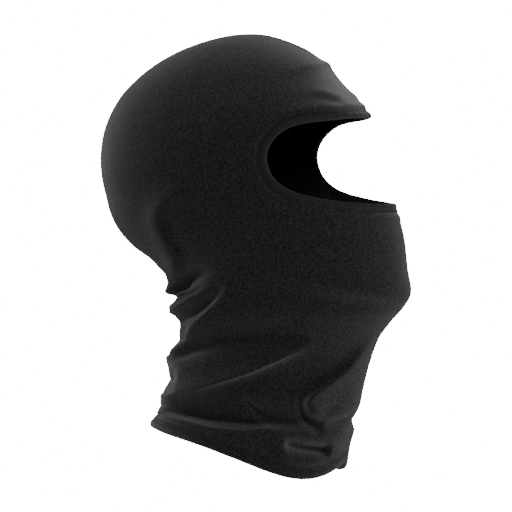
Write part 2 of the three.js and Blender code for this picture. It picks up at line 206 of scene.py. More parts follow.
base = cloth.copy()
base_normal = grid_normals(base)
RIGHT = smoothstep(-base[..., 0], -12, 12)  # 1 on the wearer's right, 0 on the left
TO_SIDE = np.zeros_like(base)
TO_SIDE[..., 0] = np.sign(base[..., 0]) * smoothstep(np.abs(base[..., 0]), 5, 30)


def to_line(plane, points, steps=90):
    """Distance to a smooth line in the side plane, the share along it and the way across it.
    The distance is positive above a line that runs across, and behind one that runs down."""
    line = through(points, np.linspace(0, 1, steps))
    start, span = line[:-1], line[1:] - line[:-1]
    length2 = np.maximum((span ** 2).sum(-1), 1e-9)
    rel = plane[:, None, :] - start
    f = np.clip((rel * span).sum(-1) / length2, 0, 1)
    off = np.linalg.norm(rel - f[..., None] * span, axis=-1)
    k = off.argmin(1)
    every = np.arange(len(plane))
    rel, f, off = rel[every, k], f[every, k], off[every, k]
    cross = span[k, 0] * rel[:, 1] - span[k, 1] * rel[:, 0]
    if points[-1][0] < points[0][0]:
        cross = -cross
    up = np.stack([-span[k, 1], span[k, 0]], -1) / np.sqrt(length2[k])[:, None]
    if points[-1][0] < points[0][0]:
        up = -up
    return off * np.sign(cross), (k + f) / (steps - 1), up


# ---------------------------------------------------------------- the folds

# Each fold: a line in the side plane, heights spread evenly along it, and how far it reaches
# above and below. lean carries its crest over the side below, or above if it is negative,
# sideways turns it from straight out towards the wearer's side, and left is its share on the
# wearer's left.
FOLDS = []


def fold(points, heights, above, below, lean=0.0, crisp=False, sideways=0.0, left=1.0):
    """Lay one fold on the cloth."""
    FOLDS.append((points, heights, above, below, lean, crisp, sideways, left))


# behind the ear the cloth leaves the skull and stands in a ridge that runs down into the nape's
# first roll
fold([(-22, 1), (-30, -1), (-39.5, -5), (-47, -13), (-49, -22), (-45.5, -32), (-40, -42.5), (-36, -52),
      (-36, -62), (-39, -73), (-41, -78)],
     [0, 1.2, 2.8, 4.0, 4.6, 4.8, 5.2, 5.8, 6.4, 7.0, 7.0], 9, 3.4, lean=1.5, left=0.9)

# the nape: rolls stacked on each other, with a deep pocket under the first
fold([(4, -55), (-7, -58), (-15, -62), (-22, -67.5), (-28, -73), (-34, -79), (-40, -86)],
     [0, -2.0, -8.0, -12.0, -12.5, -12.0, -10.0], 7.5, 4.0)
fold([(8, -69), (-2, -70), (-10, -73), (-20, -79), (-30, -86), (-39, -94), (-48, -102)],
     [0, 1.4, 4.2, 6.4, 7.6, 8.0, 8.0], 4.5, 4.5, lean=-1.0)
fold([(2, -73), (-3, -77), (-8, -83), (-20, -91), (-33, -98), (-42, -104)],
     [0, -2.6, -5.4, -7.0, -7.0, -6.0], 6, 3.4)
fold([(12, -64), (4, -72), (-3, -81), (-16, -94), (-26, -106), (-33, -115), (-40, -122), (-48, -130)],
     [0, 2.6, 4.4, 5.4, 6.0, 6.6, 7.2, 7.0], 5, 15, lean=-2, crisp=True)
fold([(66, -107), (59, -108), (38, -108), (17, -110), (-3, -113), (-19, -118), (-31, -122), (-42, -130)],
     [0, -3.0, -5.0, -6.0, -7.5, -10.0, -10.0, -9.0], 12, 6.5)

# the neck: a long fold that rises from the nape towards the chin
fold([(-52, -153), (-42, -152), (-27, -150), (-1, -143), (21, -136), (45, -126), (60, -119), (72, -112)],
     [4.6, 6.0, 7.6, 8.2, 7.8, 6.0, 3.0, 0], 9, 3.6, lean=2, crisp=True, left=0.75)
fold([(-52, -163), (-38, -165), (-18, -169), (0, -172), (18, -173), (36, -173), (60, -173), (70, -173)],
     [-4.0, -6.0, -8.5, -9.5, -9.5, -9.0, -7.0, 0], 13, 3.4, left=0.8)
fold([(14, -155), (21, -159), (29, -165), (39, -171)], [0, -4.6, -5.2, 0], 2.4, 2.0)
fold([(12, -162), (18, -166), (26, -172), (37, -177)], [0, 2.4, 2.6, 0], 3.0, 2.6)

# the top of the hem's flare
fold([(-58, -168), (-50, -169), (-31, -172), (-19, -175), (-1, -179), (17, -180), (35, -179), (52, -181),
      (77, -183), (98, -181)],
     [2.0, 2.2, 2.6, 2.8, 3.0, 3.0, 3.0, 2.8, 2.4, 1.5], 2.2, 13, lean=-1.0)

# the throat: a hooked fold that falls from under the chin and tucks into the flare
fold([(116, -108), (106, -122), (94, -136), (79, -147), (68, -155), (65, -161), (69, -168), (78, -172)],
     [0, 4.4, 7.2, 8.6, 9.4, 9.4, 7.4, 0], 3, 10, lean=-1.2, crisp=True, sideways=1.2, left=0.6)
fold([(60, -150), (60, -158), (62, -166), (69, -174), (78, -178)],
     [0, -6.5, -8.5, -6.5, 0], 6, 3.5, sideways=0.6, left=0.6)
fold([(78, -175), (86, -173), (93, -171), (99, -168)], [0, -4.5, -4.0, -1.0], 3.6, 3.6, sideways=0.8)

# a pocket in the hem's flare
fold([(48, -189), (52, -190), (60, -192), (67, -193), (75, -194), (83, -195)],
     [0, -7.5, -10.0, -10.0, -8.0, 0], 3.4, 3.0, left=0.35)
fold([(52, -186), (47, -191), (50, -199), (60, -203), (70, -204), (82, -200)],
     [0, 2.4, 3.0, 3.0, 2.4, 0], 3.4, 3.4, left=0.35)
fold([(88, -192), (93, -191), (98, -188)], [0, -1.2, 0], 2.0, 2.0)

# slack drawn from the jaw, and the hollow under it
fold([(30, -64), (52, -72), (75, -79), (100, -83), (122, -84)], [0, -1.8, -3.0, -3.0, -1.5], 9, 8)
fold([(2, -66), (10, -73), (17, -80), (23, -91)], [0, 1.0, 1.2, 0], 3, 4)
fold([(48, -94), (58, -101), (70, -108)], [0, 0.9, 0], 3, 3)

# the dart's end and the forehead
fold([(44, 93), (56, 95), (66, 99), (78, 101)], [0, 1.2, 2.2, 1.6], 2.8, 3.2)
fold([(62, 77), (72, 78.5), (80, 77.5), (90, 74)], [0, 1.1, 1.5, 1.1], 2.6, 2.4)
fold([(64, 72), (74, 73), (84, 71), (92, 68)], [0, -0.7, -1.1, -0.7], 2.6, 2.6)


def blur(grid, rounds):
    """The grid with each point drawn halfway to its neighbours, apart from its two end rows."""
    for _ in range(rounds):
        inner = grid[1:-1]
        around = (np.roll(inner, 1, 1) + np.roll(inner, -1, 1) + grid[:-2] + grid[2:]) / 4
        grid = grid.copy()
        grid[1:-1] = inner * 0.5 + around * 0.5
    return grid


BASE_SIDE = side_plane(base)
REACH = 3.2  # a fold is left out beyond this many of its widths
CREST = 0.14  # how far a crisp fold's crest is rounded, as a share of its widths


def folded(lines):
    """How far the folds move the cloth when they follow these lines on it."""
    push = np.zeros_like(cloth)
    for line, (_, heights, above, below, lean, crisp, sideways, left) in zip(lines, FOLDS):
        margin = REACH * max(above, below)
        near = ((BASE_SIDE > line.min(0) - margin) & (BASE_SIDE < line.max(0) + margin)).all(-1)
        distance, share, up = to_line(BASE_SIDE[near], line)
        height = through(np.asarray(heights, float)[:, None], share)[:, 0]
        reach = np.abs(distance) / np.where(distance > 0, above, below)
        shape = (np.exp(CREST - np.sqrt(reach ** 2 + CREST ** 2)) if crisp else bell(reach, 1)) * height
        shape *= RIGHT[near] + (1 - RIGHT[near]) * left
        out = base_normal[near] + sideways * TO_SIDE[near]
        push[near] += out / np.linalg.norm(out, axis=-1, keepdims=True) * shape[:, None]
        if lean:
            hang = -lean * (shape / max(np.abs(heights))) ** 2
            over = (up * hang[:, None]) @ np.stack([CAMERA_RIGHT, (0, 0, 1)])
            over[:, 0] *= np.where(base[near][:, 0] > 0, -1, 1)
            push[near] += over
    return push


# the outline of the nape, from the back of the head down to the hem, as up and forward
NAPE = np.array([(-50, -54), (-62, -42.5), (-67, -41), (-73.5, -43), (-76.5, -42.5), (-78.5, -34),
                 (-85, -39.5), (-89.5, -40), (-94, -36), (-98, -31.5), (-110, -32), (-117, -38),
                 (-124, -42.5), (-131, -41), (-140, -39), (-147, -43), (-153.5, -46.5), (-160.5, -47),
                 (-165, -50), (-174, -53)])
NAPE_FADE = 14.0  # how far forward of the outline the cloth still follows it
NAPE_SLICE = 1.3  # how far above and below a level the hindmost cloth is looked for
NAPE_LOW_END = 6.0  # the cloth stops following over this height above the hem's end of the outline
NAPE_HIGH_END = 8.0  # and over this height below its other end
BACK_FADE = 12.0  # the sideways part of the move is less this near the centre back


def follow_nape(grid):
    """The grid with its hindmost cloth moved so that it ends on the nape's outline."""
    side = side_plane(grid)
    forward, up = side[..., 0], side[..., 1]
    behind = grid[..., 1] > 0
    levels = np.arange(NAPE[-1, 0], NAPE[0, 0], 1.0)
    hindmost = np.array([forward[behind & (np.abs(up - level) < NAPE_SLICE)].min() for level in levels])
    wanted = np.interp(-levels, -NAPE[:, 0], NAPE[:, 1])
    wanted = np.convolve(np.pad(wanted, 1, "edge"), [0.2, 0.6, 0.2], "valid")
    fade = smoothstep(levels, levels[0], levels[0] + NAPE_LOW_END)
    fade = fade * (1 - smoothstep(levels, levels[-1] - NAPE_HIGH_END, levels[-1]))
    move = np.interp(up, levels, (wanted - hindmost) * fade, left=0, right=0)
    start = np.interp(up, levels, hindmost)
    move = move * (1 - smoothstep(forward - start, 1, NAPE_FADE)) * behind
    beside = np.sign(grid[..., 0]) * smoothstep(np.abs(grid[..., 0]), 0, BACK_FADE)
    moved = grid.copy()
    moved[..., 0] += -beside * CAMERA_RIGHT[0] * move
    moved[..., 1] += CAMERA_RIGHT[1] * move
    return moved


PLACING_ROUNDS = 5
PLACING_SHARE = 0.8  # of the way that a line still has to go, moved in one round
PLACING_STEP = 4.0  # the furthest that a line is moved in one round
ON_CLOTH = 2.5  # a line is on the cloth where it's nearer than this to it


def placed_lines():
    """The folds' lines on the flat cloth. They say where a fold is once it stands out, so each is
    moved back by as much as the folds move it."""
    wanted_lines = [np.array(f[0], float) for f in FOLDS]
    lines = [line.copy() for line in wanted_lines]
    facing = (base[..., 0] < 2) & ((base_normal * TO_CAMERA).sum(-1) > -0.15)
    facing_side = BASE_SIDE[facing]
    for _ in range(PLACING_ROUNDS):
        seen_side = side_plane(follow_nape(base + folded(lines)))[facing]
        for line, wanted in zip(lines, wanted_lines):
            away = ((facing_side[:, None] - line) ** 2).sum(-1)
            nearest = away.argmin(0)
            shift = wanted - line - (seen_side[nearest] - facing_side[nearest])
            # past the edge of the cloth a line goes on as it left it
            on_cloth = np.where(np.sqrt(away.min(0)) < ON_CLOTH)[0]
            if len(on_cloth):
                shift = shift[on_cloth[np.abs(np.arange(len(line))[:, None] - on_cloth).argmin(1)]]
                line += PLACING_SHARE * np.clip(shift, -PLACING_STEP, PLACING_STEP)
    return lines


cloth = blur(base + folded(placed_lines()), 1)
cloth = blur(follow_nape(follow_nape(cloth)), 1)
SIDE = side_plane(cloth)

# ---------------------------------------------------------------- sampling the cloth

CROWN_RISE = 0.15  # of the point that closes the crown, above the row round it
crown_point = cloth[0].mean(0)
crown_point[2] += CROWN_RISE


def sample(grid, angle, v):
    """A grid's value at any angle and v, between its rows and columns."""
    angle, v = np.broadcast_arrays(np.asarray(angle, float), np.asarray(v, float))
    turn = (angle + math.pi) % (2 * math.pi) - math.pi
    col = np.interp(turn, np.append(ANGLE, math.pi), np.arange(COLUMNS + 1)) % COLUMNS
    row = np.interp(v, V, np.arange(ROWS))
    i = np.clip(row.astype(int), 0, ROWS - 2)
    j = col.astype(int) % COLUMNS
    fi, fj = (row - i)[..., None], (col - np.floor(col))[..., None]
    k = (j + 1) % COLUMNS
    return ((grid[i, j] * (1 - fj) + grid[i, k] * fj) * (1 - fi)
            + (grid[i + 1, j] * (1 - fj) + grid[i + 1, k] * fj) * fi)


def closed_loop(points):
    """The points with the first one again at the end."""
    return np.vstack([points, points[:1]])


def running_length(points):
    """The length along a line up to each of its points."""
    return np.concatenate([[0], np.cumsum(np.linalg.norm(np.diff(points, axis=0), axis=-1))])


def at_length(where, lengths, data):
    """Rows of data at places along a line, given its running length."""
    return np.stack([np.interp(where, lengths, data[:, k]) for k in range(data.shape[1])], -1)


# ---------------------------------------------------------------- the face opening

# its edge on the wearer's right from the top of the centre front round the corner to the bottom
OPENING = [(112, 59.5), (98, 58), (83, 56), (68, 54.5), (56, 52), (45, 46), (37.5, 37.5), (35, 29),
           (36, 20.5), (41, 11), (52, 3), (68, -2), (90, -5.5), (113, -7), (131, -7)]
OPENING_TURN = (-1.9, 0.02)  # the angles that hold the opening's right half
OPENING_BAND = (-25, 75)  # and its heights in the side plane
EDGE_PLACES = 120  # places looked for along that half
EDGE_NEIGHBOURS = 6  # points of the cloth that each place is worked out from


def opening_path(count=360):
    """Points evenly spaced round the opening, as angle and v, from the top of the centre front
    over the wearer's right."""
    wanted = through(OPENING, np.linspace(0, 1, EDGE_PLACES))
    keep = (AA > OPENING_TURN[0]) & (AA <= OPENING_TURN[1])
    keep &= (SIDE[..., 1] > OPENING_BAND[0]) & (SIDE[..., 1] < OPENING_BAND[1])
    angles, vs, plane = AA[keep], VV[keep], SIDE[keep]
    found = []
    for target in wanted:
        near = np.argsort(((plane - target) ** 2).sum(-1))[:EDGE_NEIGHBOURS]
        weight = 1 / (((plane[near] - target) ** 2).sum(-1) + 0.05)
        total = weight.sum()
        found.append(((angles[near] * weight).sum() / total, (vs[near] * weight).sum() / total))
    found = np.array(found)
    found[0, 0] = found[-1, 0] = 0
    # smooth it, keeping its two ends on the centre front
    for _ in range(6):
        found[1:-1] = (found[:-2] + 2 * found[1:-1] + found[2:]) / 4
    left = found[::-1].copy()
    left[:, 0] *= -1
    path = np.vstack([found, left[1:-1]])
    for _ in range(4):
        path = (np.roll(path, 1, 0) + 2 * path + np.roll(path, -1, 0)) / 4
    lengths = running_length(closed_loop(sample(cloth, path[:, 0], path[:, 1])))
    places = np.linspace(0, lengths[-1], count, endpoint=False)
    return at_length(places, lengths, closed_loop(path))


edge_path = opening_path()
edge_points = sample(cloth, edge_path[:, 0], edge_path[:, 1])


def outward_steps(path):
    """For each place on the opening's edge, the change of angle and v that goes 1 mm away from
    the opening along the cloth."""
    step = 2e-3
    a, v = path[:, 0], path[:, 1]
    point = sample(cloth, a, v)
    by_angle = (sample(base, a + 4 * step, v) - sample(base, a - 4 * step, v)) / (8 * step)
    by_v = (sample(base, a, v + step) - sample(base, a, v - step)) / (2 * step)
    normal = np.cross(by_v, by_angle)
    normal /= np.linalg.norm(normal, axis=-1, keepdims=True)
    along = np.roll(point, -1, 0) - np.roll(point, 1, 0)
    along /= np.linalg.norm(along, axis=-1, keepdims=True)
    away = np.cross(along, normal)
    centre = point.mean(0)
    away *= np.sign(((point - centre) * away).sum(-1))[:, None]
    steps = []
    for k in range(len(path)):
        matrix = np.stack([by_angle[k], by_v[k]], -1)
        steps.append(np.linalg.lstsq(matrix, away[k], rcond=None)[0])
    return np.array(steps)


edge_steps = outward_steps(edge_path)
for _ in range(4):
    edge_steps = (np.roll(edge_steps, 1, 0) + 2 * edge_steps + np.roll(edge_steps, -1, 0)) / 4


def round_the_opening(outward):
    """Points and normals at a distance outward from the opening's edge."""
    a, v = np.moveaxis(edge_path + edge_steps * outward, -1, 0)
    turn, drop = 8e-3, 2e-3
    by_angle = sample(cloth, a + turn, v) - sample(cloth, a - turn, v)
    by_v = sample(cloth, a, v + drop) - sample(cloth, a, v - drop)
    normal = np.cross(by_v, by_angle)
    normal /= np.linalg.norm(normal, axis=-1, keepdims=True)
    return sample(cloth, a, v), normal


FAR_OFF = 99.0  # stands for the distance of cloth that is nowhere near the opening


def gap_from_opening():
    """The distance of every point of the cloth from the opening's edge, negative inside it."""
    points = cloth.reshape(-1, 3)
    y, z = points[:, 1], points[:, 2]
    close = np.where((y > -190) & (y < -10) & (z > -40) & (z < 95))[0]
    distances = np.sqrt(((points[close][:, None, :] - edge_points[None, :, :]) ** 2).sum(-1))
    nearest = distances.argmin(1)
    a, v = np.moveaxis(edge_path + edge_steps, -1, 0)
    away = sample(cloth, a, v) - edge_points
    inside = ((points[close] - edge_points[nearest]) * away[nearest]).sum(-1) < 0
    gap = np.full(len(points), FAR_OFF)
    gap[close] = np.where(inside, -distances.min(1), distances.min(1))
    return gap.reshape(ROWS, COLUMNS)


gap = gap_from_opening()

# the binding presses the fleece under it flat, pinches it along its outer edge, and the fleece
# stands up again past that
BINDING_DEPTH = 7.0
RAW_EDGE = 3.2  # the fleece under the binding ends here
PRESSED, PINCHED, PUFFED = 1.1, 0.7, 0.8
cloth_normal = grid_normals(cloth)
under = 1 - smoothstep(gap, BINDING_DEPTH - 0.8, BINDING_DEPTH + 1.2)
pinch = bell(gap - BINDING_DEPTH - 0.5, 1.1)
puff = bell(gap - BINDING_DEPTH - 4.2, 2.8)
cloth += cloth_normal * (-PRESSED * under - PINCHED * pinch + PUFFED * puff)[..., None]

# ---------------------------------------------------------------- the seam's groove

DART_RING = 3.55
GROOVE_DEPTH, GROOVE_WIDTH = 1.9, 1.6
SHOULDER_HEIGHT, SHOULDER_OFFSET, SHOULDER_WIDTH = 0.7, 4.2, 2.6  # the soft rise beside the groove
dart_v = DART_RING / LAST_RING
fading = 1 - smoothstep(VV, dart_v * 0.75, dart_v * 1.02)
seam_taper = np.where(np.abs(AA) > math.pi / 2, 1.0, fading)
offset = cloth[..., 0]
groove = (-GROOVE_DEPTH * bell(offset, GROOVE_WIDTH)
          + SHOULDER_HEIGHT * bell(np.abs(offset) - SHOULDER_OFFSET, SHOULDER_WIDTH))
cloth += cloth_normal * (groove * seam_taper)[..., None]

# ---------------------------------------------------------------- the hem's edge

ROW_DEPTH, ROW_WIDTH = 0.45, 0.8  # how the rows of stitches press into the cloth
EDGE_DEPTH, EDGE_WIDTH = 0.8, 2.5  # how far the turned edge rolls in
above_hem = np.zeros((ROWS, COLUMNS))
for row in range(ROWS - 2, -1, -1):
    above_hem[row] = above_hem[row + 1] + np.linalg.norm(cloth[row] - cloth[row + 1], axis=-1)
for height in HEM_ROWS:
    cloth -= cloth_normal * (ROW_DEPTH * bell(above_hem - height, ROW_WIDTH))[..., None]
cloth -= cloth_normal * (EDGE_DEPTH * smoothstep(-above_hem, -EDGE_WIDTH, 0))[..., None]
final_normal = grid_normals(cloth)

# ---------------------------------------------------------------- meshes


def new_object(name, points, faces, mat):
    """A smooth-shaded piece on the part's body, from points in mm and faces."""
    mesh = bpy.data.meshes.new(name)
    mesh.vertices.add(len(points))
    mesh.vertices.foreach_set("co", (np.asarray(points, np.float32) * MM).ravel())
    sizes = np.array([len(f) for f in faces], np.int32)
    total = int(sizes.sum())
    starts = np.concatenate([[0], np.cumsum(sizes)[:-1]]).astype(np.int32)
    mesh.loops.add(total)
    mesh.polygons.add(len(faces))
    mesh.loops.foreach_set("vertex_index", np.fromiter((i for f in faces for i in f), np.int32, total))
    mesh.polygons.foreach_set("loop_start", starts)
    mesh.update(calc_edges=True)
    mesh.validate()
    mesh.shade_smooth()
    thing = bpy.data.objects.new(name, mesh)
    bpy.context.scene.collection.objects.link(thing)
    mesh.materials.append(mat)
    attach(thing, "root")
    return thing


def turn_out(points, faces):
    """The faces of a closed mesh, turned so that they face outwards."""
    points = np.asarray(points, float)
    triangles = np.array([(f[0], f[k], f[k + 1]) for f in faces for k in range(1, len(f) - 1)])
    a, b, c = (points[triangles[:, k]] for k in range(3))
    volume = (a * np.cross(b, c)).sum()
    return [tuple(reversed(f)) for f in faces] if volume < 0 else faces


def sweep(sections, loop=True):
    """A closed mesh through a list of sections, each a ring of points."""
    count, size = len(sections), len(sections[0])
    points = np.concatenate(sections)
    faces = []
    spans = count if loop else count - 1
    for i in range(spans):
        for j in range(size):
            a, b = i * size + j, i * size + (j + 1) % size
            c, d = ((i + 1) % count) * size + (j + 1) % size, ((i + 1) % count) * size + j
            faces.append((a, d, c, b))
    if not loop:
        faces.append(tuple(range(size)))
        faces.append(tuple(reversed(range((count - 1) * size, count * size))))
    return points, turn_out(points, faces)


def capsule(start, end, radius, normal, sides=6):
    """A stitch: a short thread from start to end that dips into the cloth at both ends."""
    low, lift = normal * radius * 0.9, normal * radius * 0.6
    path = np.array([start - low, start * 0.75 + end * 0.25 + lift,
                     (start + end) / 2 + normal * radius * 0.7,
                     start * 0.25 + end * 0.75 + lift, end - low])
    size = np.array([0.45, 0.95, 1.0, 0.95, 0.45]) * radius
    along = (end - start) / max(np.linalg.norm(end - start), 1e-9)
    beside = np.cross(along, normal)
    turns = np.arange(sides) / sides * 2 * math.pi
    circle = np.outer(np.cos(turns), beside) + np.outer(np.sin(turns), normal)
    rings = [p + r * circle for p, r in zip(path, size)]
    return sweep(rings, loop=False)


def join(parts):
    """Several meshes as one."""
    points, faces, first = [], [], 0
    for p, f in parts:
        points.append(p)
        faces += [tuple(i + first for i in face) for face in f]
        first += len(p)
    return np.concatenate(points), faces


# ---------------------------------------------------------------- materials

NAP_TINT = (1.0, 0.97, 0.96, 1)  # of the light that the fibres' ends catch
DARK_FLECK, LIGHT_FLECK = 0.1, 2.2  # of the cloth's colour


def material(name, base, roughness, sheen, sheen_roughness, grain, grain_depth, speckle):
    """A dark cloth: speckled in colour, with a grain in its bump and a soft sheen."""
    mat = bpy.data.materials.new(name)
    mat.use_nodes = True
    nodes, links = mat.node_tree.nodes, mat.node_tree.links
    shader = nodes["Principled BSDF"]
    shader.inputs["Roughness"].default_value = roughness
    shader.inputs["Sheen Weight"].default_value = sheen
    shader.inputs["Sheen Roughness"].default_value = sheen_roughness
    shader.inputs["Sheen Tint"].default_value = NAP_TINT
    shader.inputs["Specular IOR Level"].default_value = 0.25
    where = nodes.new("ShaderNodeTexCoord")
    fine = nodes.new("ShaderNodeTexNoise")
    fine.inputs["Scale"].default_value = grain
    fine.inputs["Detail"].default_value = 4
    fine.inputs["Roughness"].default_value = 0.65
    links.new(where.outputs["Object"], fine.inputs["Vector"])
    broad = nodes.new("ShaderNodeTexNoise")
    broad.inputs["Scale"].default_value = grain / 9
    broad.inputs["Detail"].default_value = 3
    links.new(where.outputs["Object"], broad.inputs["Vector"])
    ramp = nodes.new("ShaderNodeValToRGB")
    ramp.color_ramp.elements[0].position = 0.5 - speckle
    ramp.color_ramp.elements[1].position = 0.5 + speckle
    ramp.color_ramp.elements[0].color = (*[c * DARK_FLECK for c in base], 1)
    ramp.color_ramp.elements[1].color = (*[c * LIGHT_FLECK for c in base], 1)
    links.new(fine.outputs["Fac"], ramp.inputs["Fac"])
    links.new(ramp.outputs["Color"], shader.inputs["Base Color"])
    mix = nodes.new("ShaderNodeMath")
    mix.operation = "MULTIPLY_ADD"
    mix.inputs[1].default_value = 0.35
    links.new(broad.outputs["Fac"], mix.inputs[0])
    links.new(fine.outputs["Fac"], mix.inputs[2])
    bump = nodes.new("ShaderNodeBump")
    bump.inputs["Strength"].default_value = 1.0
    bump.inputs["Distance"].default_value = grain_depth
    links.new(mix.outputs[0], bump.inputs["Height"])
    links.new(bump.outputs["Normal"], shader.inputs["Normal"])
    return mat


FLEECE = material("fleece", (0.0155, 0.0149, 0.0147), 0.95, 0.39, 0.5, 740, 0.0007, 0.10)
JERSEY = material("jersey", (0.019, 0.0184, 0.0183), 0.7, 0.34, 0.4, 2200, 0.00012, 0.2)
THREAD = material("thread", (0.011, 0.011, 0.012), 0.6, 0.1, 0.3, 5000, 0.00005, 0.2)
ELASTIC = material("elastic", (0.02, 0.02, 0.021), 0.7, 0.1, 0.3, 2500, 0.0001, 0.2)
SATIN = material("satin", (0.04, 0.04, 0.043), 0.45, 0.2, 0.3, 3000, 0.00006, 0.2)

# ---------------------------------------------------------------- the fleece body


def grid_faces(index):
    """Quads between the points of a grid that closes on itself, where all four are kept."""
    faces = []
    rows, columns = index.shape
    for i in range(rows - 1):
        for j in range(columns):
            k = (j + 1) % columns
            quad = (index[i, j], index[i + 1, j], index[i + 1, k], index[i, k])
            if min(quad) >= 0:
                faces.append(quad)
    return faces


def open_loops(faces):
    """The open edges of a mesh, as loops of points that run the way its faces do."""
    edges = {(a, b) for f in faces for a, b in zip(f, f[1:] + f[:1])}
    after = {a: b for a, b in edges if (b, a) not in edges}
    loops = []
    while after:
        first = next(iter(after))
        loop = [first]
        while after.get(loop[-1], first) != first:
            loop.append(after.pop(loop[-1]))
        after.pop(loop[-1], None)
        loops.append(loop)
    return sorted(loops, key=len)[::-1]


def close_between(points, one, other):
    """Triangles between two loops that run the opposite way."""
    other = other[::-1]
    start = int(np.linalg.norm(points[other] - points[one[0]], axis=-1).argmin())
    other = other[start:] + other[:start]
    one, other = one + one[:1], other + other[:1]
    faces, i, j = [], 0, 0
    while i < len(one) - 1 or j < len(other) - 1:
        ahead = behind = np.inf
        if i < len(one) - 1:
            ahead = np.linalg.norm(points[one[i + 1]] - points[other[j]])
        if j < len(other) - 1:
            behind = np.linalg.norm(points[other[j + 1]] - points[one[i]])
        if ahead <= behind:
            faces.append((one[i + 1], one[i], other[j]))
            i += 1
        else:
            faces.append((other[j], other[j + 1], one[i]))
            j += 1
    return faces


def fleece_layer(points, kept, crown, first):
    """One layer's points and faces, numbered from first."""
    index = np.full(kept.shape, -1)
    index[kept] = np.arange(kept.sum()) + first
    top = first + int(kept.sum())
    faces = grid_faces(index)
    faces += [(top, index[0, j], index[0, (j + 1) % kept.shape[1]]) for j in range(kept.shape[1])]
    return np.vstack([points[kept], crown]), faces


def fleece_body():
    """The cloth as one closed shell, with the opening left out."""
    outward = grid_normals(cloth)
    for _ in range(6):
        beside = np.roll(outward, 1, 1) + np.roll(outward, -1, 1)
        outward[1:-1] = beside[1:-1] / 4 + (outward[:-2] + outward[2:]) / 4
    outward /= np.linalg.norm(outward, axis=-1, keepdims=True)
    inner = (cloth - outward * FLEECE_THICKNESS)[::2, ::2]
    outer_points, outer_faces = fleece_layer(cloth, gap > RAW_EDGE, crown_point, 0)
    inner_points, inner_faces = fleece_layer(inner, (gap > RAW_EDGE)[::2, ::2],
                                             crown_point - (0, 0, FLEECE_THICKNESS), len(outer_points))
    inner_faces = [tuple(reversed(f)) for f in inner_faces]
    points = np.vstack([outer_points, inner_points])
    rims = []
    for outside, inside in zip(open_loops(outer_faces), open_loops(inner_faces)):
        rims += close_between(points, outside, inside)
    faces = turn_out(points, outer_faces + inner_faces + rims)
    body = new_object("fleece_body", points, faces, FLEECE)
    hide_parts("fleece_right", "fleece_left")
    return body


body = fleece_body()

# ---------------------------------------------------------------- the binding round the opening

# the strip is a little uneven along its length: two ripples, so many times round
RIPPLE = 0.10
RIPPLE_TIMES = (118, 47)
ripple = RIPPLE * np.sin(np.arange(len(edge_path)) / len(edge_path) * 2 * math.pi * RIPPLE_TIMES[0])
ripple += RIPPLE * np.sin(np.arange(len(edge_path)) / len(edge_path) * 2 * math.pi * RIPPLE_TIMES[1] + 1.1)

# the binding's section: distance from the fold, height above the middle of the fleece
BINDING = [(0.0, 0.0), (0.15, 0.7), (0.6, 1.35), (1.5, 1.8), (2.8, 1.95), (4.2, 1.85), (5.1, 1.6),
           (5.6, 1.48), (6.2, 1.58), (6.8, 1.5), (7.15, 1.15), (7.2, 0.8)]
ELASTIC_MIDDLE = 1.9  # from the fold
ELASTIC_HALF_WIDTH = 0.9
ELASTIC_HALF_HEIGHT = 0.55
BINDING_STITCH = (5.6, 1.5)  # distance from the fold, height above the middle of the fleece
BINDING_STITCH_PITCH = 3.0
HEM_STITCH_PITCH = 3.2
THREAD_RADIUS = 0.24
STITCH_ENDS = (0.12, 0.88)  # of its pitch, where a stitch comes out of the cloth and goes back in


def ring_round_opening(name, section, mat, unevenness=0.0):
    """A piece of one section swept round the opening."""
    lines = []
    for outward, height in section:
        point, normal = round_the_opening(outward)
        wave = 1 + unevenness * ripple * bell(outward - 3, 4)
        lines.append(point + normal * (height * wave - FLEECE_THICKNESS / 2)[:, None])
    points, faces = sweep(list(np.stack(lines, 1)))
    piece = new_object(name, points, faces, mat)
    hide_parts(name)


def row_of_stitches(name, surface, normal, pitch):
    """A closed row of separate stitches that lie on a surface."""
    surface, normal = closed_loop(surface), closed_loop(normal)
    lengths = running_length(surface)
    count = int(lengths[-1] / pitch)
    parts = []
    for k in range(count):
        start, end = ((k + share) / count * lengths[-1] for share in STITCH_ENDS)
        up = at_length((start + end) / 2, lengths, normal)
        parts.append(capsule(at_length(start, lengths, surface), at_length(end, lengths, surface),
                             THREAD_RADIUS, up / np.linalg.norm(up)))
    points, faces = join(parts)
    piece = new_object(name, points, faces, THREAD)
    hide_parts(name)


def binding_stitches():
    """The row of stitches that holds the binding's two edges together."""
    outward, height = BINDING_STITCH
    point, normal = round_the_opening(outward)
    surface = point + normal * (height - FLEECE_THICKNESS / 2)
    row_of_stitches("face_binding_thread", surface, normal, BINDING_STITCH_PITCH)


both_faces = BINDING + [(outward, -height) for outward, height in reversed(BINDING[1:])]
ring_round_opening("face_binding", both_faces, JERSEY, unevenness=1.0)
oval = [(ELASTIC_MIDDLE + ELASTIC_HALF_WIDTH * math.cos(t), ELASTIC_HALF_HEIGHT * math.sin(t))
        for t in np.arange(8) / 8 * 2 * math.pi]
ring_round_opening("face_elastic", oval, ELASTIC)
binding_stitches()

# ---------------------------------------------------------------- the hem


def rows_above_hem(height):
    """For each column, the row place that is a distance above the hem's edge."""
    return np.array([np.interp(-height, -above_hem[:, j], np.arange(ROWS)) for j in range(COLUMNS)])


def at_row(grid, rows):
    """A grid's values at one row place in each column."""
    i = np.clip(rows.astype(int), 0, ROWS - 2)
    f = (rows - i)[:, None]
    j = np.arange(COLUMNS)
    return grid[i, j] * (1 - f) + grid[i + 1, j] * f


